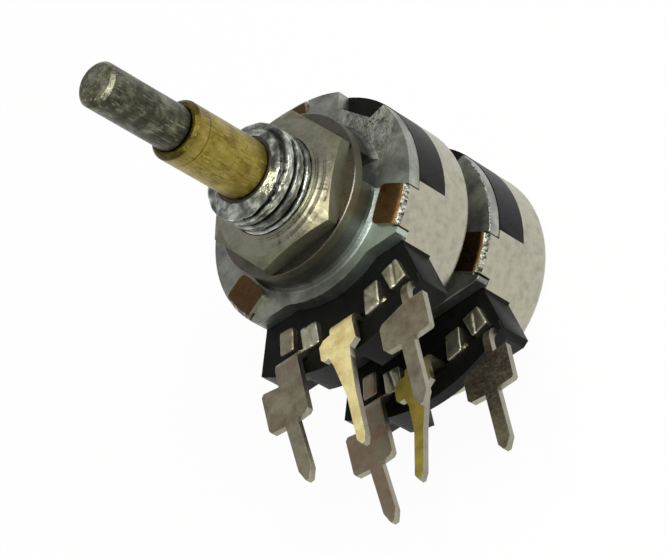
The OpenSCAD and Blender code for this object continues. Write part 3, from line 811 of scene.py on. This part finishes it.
class POT_OT_bases(bpy.types.Operator):
    """Moulded bases of both sections"""
    bl_idname = "pot.bases"
    bl_label = "Moulded Bases"

    def execute(self, context):
        base = colours().phenolic
        # black phenolic, moulded: near black, dull, with a faint chalky bloom
        material = moulded("black_phenolic", base, shade(base, 2.2))
        for node in ("front_base", "rear_base"):
            dressed(merged_copy(node), node + "_moulding", node, material,
                    sizes().moulded_edge, segments=1)
        return {"FINISHED"}


# which strip each terminal is stamped from
FINISHES = {
    "front_left_terminal": "dipped_tin_strip", "front_middle_terminal": "bright_brass_strip",
    "front_right_terminal": "dipped_tin_strip", "rear_left_terminal": "tin_strip_brown_reflection",
    "rear_middle_terminal": "dull_brass_strip", "rear_right_terminal": "dipped_tin_strip"}
# the prongs stand on the bases' faces and reach this far into them
PRONG_SINK = 0.3 * MM
# the CAD's prong heads lie within this of a prong's place; how much they are drawn in, and the
# share of their height that is left
HEAD_REACH = 1.6 * MM
HEAD_DRAWN_IN = 0.5
HEAD_LEFT = 0.1
# width of a prong's crease and depth of its dents
CREASE_WIDTH = 0.12 * MM
DENT = 0.12 * MM
# faces of the pins and their shoulders lie below this Y, and the sheared ones among them rise
# less than this
PIN_TOP = -12 * MM
SHEARED = 0.6


class POT_OT_terminals(bpy.types.Operator):
    """Stamped solder terminals of both sections"""
    bl_idname = "pot.terminals"
    bl_label = "Terminals"

    def execute(self, context):
        tints = colours()
        # tin-dipped brass: a soft grey sheen with brown tarnish
        stamped_metal("dipped_tin_strip", tints.tin, linear("#7C6C5E"), 0.8)
        # tin cut and pressed at the prongs: bright metal with dark hollows
        stamped_metal("cut_tin_prong", tints.cut_tin, shade(tints.cut_tin, 0.45), 0.7)
        # tin strip with a painted brown reflection: pinkish brown patches
        stamped_metal("tin_strip_brown_reflection", tints.stain, linear("#9A6A4C"), 0.6)
        # clear brass strip: pale gold, a little dull where it has tarnished
        stamped_metal("bright_brass_strip", tints.brass, linear("#A8853A"), 0.6, rough=0.4,
                      metallic=0.55)
        # brass strip tarnished all over: olive gold with a weak shine
        stamped_metal("dull_brass_strip", tints.dull_brass, linear("#7A6C2A"), 0.6, metallic=0.5)
        # edges sheared by the stamping die: plain grey metal with dark streaks
        sheared = stamped_metal("sheared_edges", tints.sheared, shade(tints.sheared, 0.5), 0.5)
        for node, strip in FINISHES.items():
            form = merged_copy(node)
            shrink_heads(form, prong_foot(node))
            dressed(form, node + "_stamping", node, bpy.data.materials[strip],
                    sizes().sheet_edge, finishes=(
                        (sheared, lambda spot, normal: abs(normal.z) < SHEARED and spot.y < PIN_TOP),))
        return {"FINISHED"}


# name, place, width, length, squareness, skew, turn, crease depth and angle, mm or degrees
PRONGS = (
    ("left_outer", (-6.45, -11.35), 1.65, 2.5, 0.5, 0.1, -6, 0.0, 0),
    ("left_inner", (-3.8, -12.35), 1.95, 2.4, 0.55, 0.0, -4, 0.12, 10),
    ("right_inner", (3.7, -12.55), 1.8, 2.6, 0.5, 0.3, 8, 0.1, 30),
    ("right_outer", (6.6, -11.7), 1.95, 2.4, 0.55, 0.0, 14, 0.12, -20),
)


def prong_foot(node):
    """Height of the prongs' feet in the section that a node belongs to."""
    lift = SECTION_STEP if node.startswith("rear") else 0.0
    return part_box("front_base")[1].z - PRONG_SINK + lift


def shrink_heads(form, foot):
    """Sinks the CAD's block-shaped prong heads into the ones that stand for them."""
    for vertex in form.verts:
        if vertex.co.z < foot - LEVEL:
            continue
        for _, spot, *_ in PRONGS:
            away = vertex.co.xy - Vector(spot) * MM
            if away.length < HEAD_REACH:
                vertex.co.xy -= away * HEAD_DRAWN_IN
                vertex.co.z = foot + (vertex.co.z - foot) * HEAD_LEFT
                break


class POT_OT_prongs(bpy.types.Operator):
    """Clinched ends of the outer terminals"""
    bl_idname = "pot.prongs"
    bl_label = "Clinched Prongs"

    def execute(self, context):
        if "cut_tin_prong" not in bpy.data.materials:
            raise RuntimeError("the terminals are made before their prongs")
        tree = prong_tree()
        for section, first_seed in (("front", 0.0), ("rear", 11.0)):
            for number, prong in enumerate(PRONGS):
                name, spot, width, depth, squareness, skew, turn, crease, angle = prong
                node = f"{section}_{name.split('_')[0]}_terminal"
                metal = FINISHES[node] if name == "left_outer" else "cut_tin_prong"
                piece = generated(tree, f"{section}_{name}_prong", {
                    "Width": width * MM, "Length": depth * MM, "Height": sizes().prong_height,
                    "Squareness": squareness, "Skew": skew, "Crease Depth": crease * MM,
                    "Crease Width": CREASE_WIDTH, "Crease Angle": math.radians(angle),
                    "Dent": DENT, "Seed": 3.0 * number + first_seed,
                    "Position": (spot[0] * MM, spot[1] * MM, prong_foot(node)),
                    "Turn": (0, 0, math.radians(turn)), "Material": bpy.data.materials[metal]})
                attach(piece, HOUSING)
        return {"FINISHED"}


# how far down from a cover's top its tabs' faces and their folds reach, and how much they rise
TAB_FACE = 0.15 * MM
TAB_FOLD = 0.8 * MM
TAB_FACE_RISE = 0.8
TAB_FOLD_RISE = 0.1


class POT_OT_covers(bpy.types.Operator):
    """Sheet covers with their folded tabs"""
    bl_idname = "pot.covers"
    bl_label = "Covers"

    def execute(self, context):
        # nickel-plated steel sheet: warm pale grey, an even shine with faint clouds
        material = plated_steel("nickel_plated_sheet", colours().nickel, 0.36, 0.9, 0.22)
        # the same sheet with a painted brown reflection on the tabs' faces: brown with dark clouds
        brown_reflection = plated_steel("tab_faces_brown_reflection", colours().tab, 0.34, 0.8, 0.35)
        # plating cracked on the outside of the folds: bright and dark by turns, the bright turns
        # partly a painted glint along the fold
        fold_cracks_and_glints = broken_metal("cracked_and_glinting_fold", linear("#3A3A30"), linear("#8A8878"),
                            linear("#DAD8C8"), 0.12)
        for node in ("front_cover", "rear_cover"):
            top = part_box(node)[1].z - TAB_FACE
            dressed(merged_copy(node), node + "_sheet", node, material, sizes().cover_edge,
                    finishes=(
                        (brown_reflection,
                         lambda spot, normal: normal.z > TAB_FACE_RISE and spot.z > top),
                        (fold_cracks_and_glints, lambda spot, normal: normal.z > TAB_FOLD_RISE
                         and spot.z > top - TAB_FOLD)))
        return {"FINISHED"}


# how far down from a shaft's tip its end faces reach
SHAFT_END = 1.0 * MM


class POT_OT_shafts(bpy.types.Operator):
    """Brass tube and steel shaft"""
    bl_idname = "pot.shafts"
    bl_label = "Shafts"

    def execute(self, context):
        tints = colours()
        # drawn brass tube, unplated: olive gold with dark stains, a dark line by the knob and darker
        # beyond it
        tube = turned_metal("drawn_brass_tube", tints.tube, linear("#6A5A22"),
                            linear("#BCAC62"), 0.36, 0.22, ring_mm=15.0)
        # the tube's cut end with painted shade: dark brown with a few spots of plain brass
        shaded_tube_end = turned_metal("shaded_brass_end", shade(tints.tube, 0.4), linear("#2E2410"),
                             tints.tube, 0.4, 0.18)
        # plain steel bar gone dark: olive black with pale scratches along it
        steel = turned_metal("stained_steel_bar", tints.steel, linear("#2C2C24"),
                             linear("#96967F"), 0.34, 0.2)
        # the bar's end, rubbed bright by the knob, with painted highlights on its bevel: pale steel
        # with dark pits
        rubbed_and_glinting = turned_metal("rubbed_and_highlit_steel_end", shade(tints.steel, 2.8), tints.steel,
                              linear("#D0CEBC"), 0.34, 0.3)
        for node, name, material, end_material, body in (
                ("outer_shaft", "tube_shaft", tube, shaded_tube_end, OUTER),
                ("inner_shaft", "bar_shaft", steel, rubbed_and_glinting, INNER)):
            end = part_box(node)[1].z - SHAFT_END
            dressed(merged_copy(node), name, node, material, sizes().turned_edge, body=body,
                    finishes=((end_material,
                               lambda spot, normal: spot.z > end and normal.z > FRONT),))
        return {"FINISHED"}


class POT_OT_inner_parts(bpy.types.Operator):
    """Finishes of the wafers, rotors, wipers and retaining rings"""
    bl_idname = "pot.inner_parts"
    bl_label = "Inner Parts"

    def execute(self, context):
        # phenolic paper board, pressed: dull brown with pale fibre specks
        wafer = moulded("phenolic_paper_wafer", linear("#3A2416"), linear("#5A3A24"))
        # cream urea resin, moulded: pale and dull
        rotor = moulded("cream_resin", linear("#B8A888"), linear("#CFC2A4"))
        # phosphor bronze strip, stamped: reddish gold with a soft sheen
        spring = stamped_metal("phosphor_bronze_strip", linear("#C89A5E"), linear("#8A6436"), 0.4)
        # blued spring steel: blue-grey and even
        ring = plated_steel("blued_spring_steel", linear("#6A6C70"), 0.35, 1.0, 0.3)
        for section in ("front", "rear"):
            paint(section + "_element", wafer)
            paint(section + "_rotor", rotor)
            paint(section + "_wiper", spring)
            paint(section + "_clip", ring)
        return {"FINISHED"}


# Stage

# the photograph's camera: its place, the directions of its right side and back, and its lens
CAMERA_PLACE = Vector((135.527, -191.126, 206.118)) * MM
CAMERA_RIGHT = Vector((0.745266, -0.182397, -0.641335))
CAMERA_BACK = Vector((0.437576, -0.591958, 0.676841))
CAMERA_LENS = 180.24
SENSOR_WIDTH = 36.0
# the lamps point here
LIT_SPOT = Vector((0, 0, -4)) * MM
WHITE = (1, 1, 1, 1)
# strength of the even room light, of the lamps in watts, and of the floor as a mirror sees it
ROOM_STRENGTH = 0.42
KEY_POWER = 2.0
TOP_POWER = 0.8
FLOOR_SEEN = 0.95


def area_light(name, place, size, power, tint):
    """Square soft light that points at the middle of the potentiometer."""
    data = bpy.data.lights.new(name, "AREA")
    data.shape = "SQUARE"
    data.size = size
    data.energy = power
    data.color = linear(tint)[:3]
    lamp = bpy.data.objects.new(name, data)
    bpy.context.scene.collection.objects.link(lamp)
    aim = (Vector(place) - LIT_SPOT).to_track_quat("Z", "Y")
    lamp.matrix_world = Matrix.Translation(place) @ aim.to_matrix().to_4x4()


def white_seen(tree, strength):
    """Share of white that camera, glossy and transmission rays see."""
    rays = add_node(tree, "ShaderNodeLightPath").outputs
    seen = rays["Is Camera Ray"]
    for name in ("Is Glossy Ray", "Is Transmission Ray"):
        seen = add_node(tree, MATHS, {"operation": "MAXIMUM"}, (seen, rays[name])).outputs[0]
    return add_node(tree, MATHS, MULTIPLY, (seen, strength)).outputs[0]


class POT_OT_stage(bpy.types.Operator):
    """Floor, lights, backdrop and camera"""
    bl_idname = "pot.stage"
    bl_label = "Stage"

    def execute(self, context):
        scene = context.scene
        self.floor()
        self.world(scene)
        area_light("key_light", (0.34, -0.10, 0.34), 0.32, KEY_POWER, "#FFFFFF")
        area_light("top_light", (0.06, 0.0, 0.50), 0.16, TOP_POWER, "#F4EEDC")
        self.camera(scene)
        scene.view_settings.view_transform = "Standard"
        return {"FINISHED"}

    def floor(self):
        """White table top that keeps the object's shadow."""
        form = bmesh.new()
        bmesh.ops.create_grid(form, x_segments=4, y_segments=4, size=1.5)
        bmesh.ops.translate(form, verts=form.verts, vec=(0, 0, FLOOR_HEIGHT))
        floor = new_object("floor", form)
        # matt white lacquered table: a plain white with a soft shadow
        material = bpy.data.materials.new("white_table")
        material.use_nodes = True
        tree = material.node_tree
        tree.nodes.clear()
        lit = add_node(tree, "ShaderNodeBsdfDiffuse", None, {"Color": (0.82, 0.82, 0.82, 1)})
        glow = add_node(tree, "ShaderNodeEmission", None, {"Color": WHITE, "Strength": 1.0})
        mix = add_node(tree, "ShaderNodeMixShader", None, (
            white_seen(tree, FLOOR_SEEN), lit.outputs[0], glow.outputs[0]))
        add_node(tree, "ShaderNodeOutputMaterial", None, {"Surface": mix.outputs[0]})
        floor.data.materials.append(material)

    def world(self, scene):
        """Even grey room light behind a white backdrop."""
        world = bpy.data.worlds.new("room")
        scene.world = world
        world.use_nodes = True
        tree = world.node_tree
        tree.nodes.clear()
        room = add_node(tree, "ShaderNodeBackground", None, (WHITE, ROOM_STRENGTH))
        white = add_node(tree, "ShaderNodeBackground", None, (WHITE, 1.0))
        rays = add_node(tree, "ShaderNodeLightPath").outputs
        mix = add_node(tree, "ShaderNodeMixShader", None, (
            rays["Is Camera Ray"], room.outputs[0], white.outputs[0]))
        add_node(tree, "ShaderNodeOutputWorld", None, {"Surface": mix.outputs[0]})

    def camera(self, scene):
        """Camera at the photograph's viewing angle."""
        data = bpy.data.cameras.new("photo_camera")
        data.sensor_width = SENSOR_WIDTH
        data.sensor_fit = "HORIZONTAL"
        data.lens = CAMERA_LENS
        data.clip_start = 0.01
        data.clip_end = 10
        camera = bpy.data.objects.new("photo_camera", data)
        up = CAMERA_BACK.cross(CAMERA_RIGHT)
        turn = Matrix((CAMERA_RIGHT, up, CAMERA_BACK)).transposed()
        camera.matrix_world = Matrix.Translation(CAMERA_PLACE) @ turn.to_4x4()
        scene.collection.objects.link(camera)
        scene.camera = camera


STEPS = ("castings", "thread", "nut_and_washer", "bases", "terminals", "prongs", "covers",
         "shafts", "inner_parts", "stage")


class POT_PT_panel(bpy.types.Panel):
    """Sidebar panel with the steps in order"""
    bl_label = "Potentiometer"
    bl_idname = "POT_PT_panel"
    bl_space_type = "VIEW_3D"
    bl_region_type = "UI"
    bl_category = "Potentiometer"

    def draw(self, context):
        for step in STEPS:
            self.layout.operator("pot." + step)


CLASSES = (PotentiometerSizes, PotentiometerColours, POT_OT_castings, POT_OT_thread,
           POT_OT_nut_and_washer, POT_OT_bases, POT_OT_terminals, POT_OT_prongs, POT_OT_covers,
           POT_OT_shafts, POT_OT_inner_parts, POT_OT_stage, POT_PT_panel)


def register():
    for each in CLASSES:
        bpy.utils.register_class(each)
    bpy.types.Scene.potentiometer_sizes = bpy.props.PointerProperty(type=PotentiometerSizes)
    bpy.types.Scene.potentiometer_colours = bpy.props.PointerProperty(type=PotentiometerColours)


def unregister():
    del bpy.types.Scene.potentiometer_colours
    del bpy.types.Scene.potentiometer_sizes
    for each in reversed(CLASSES):
        bpy.utils.unregister_class(each)


def main():
    register()
    for step in STEPS:
        getattr(bpy.ops.pot, step)()


if __name__ == "__main__":
    main()
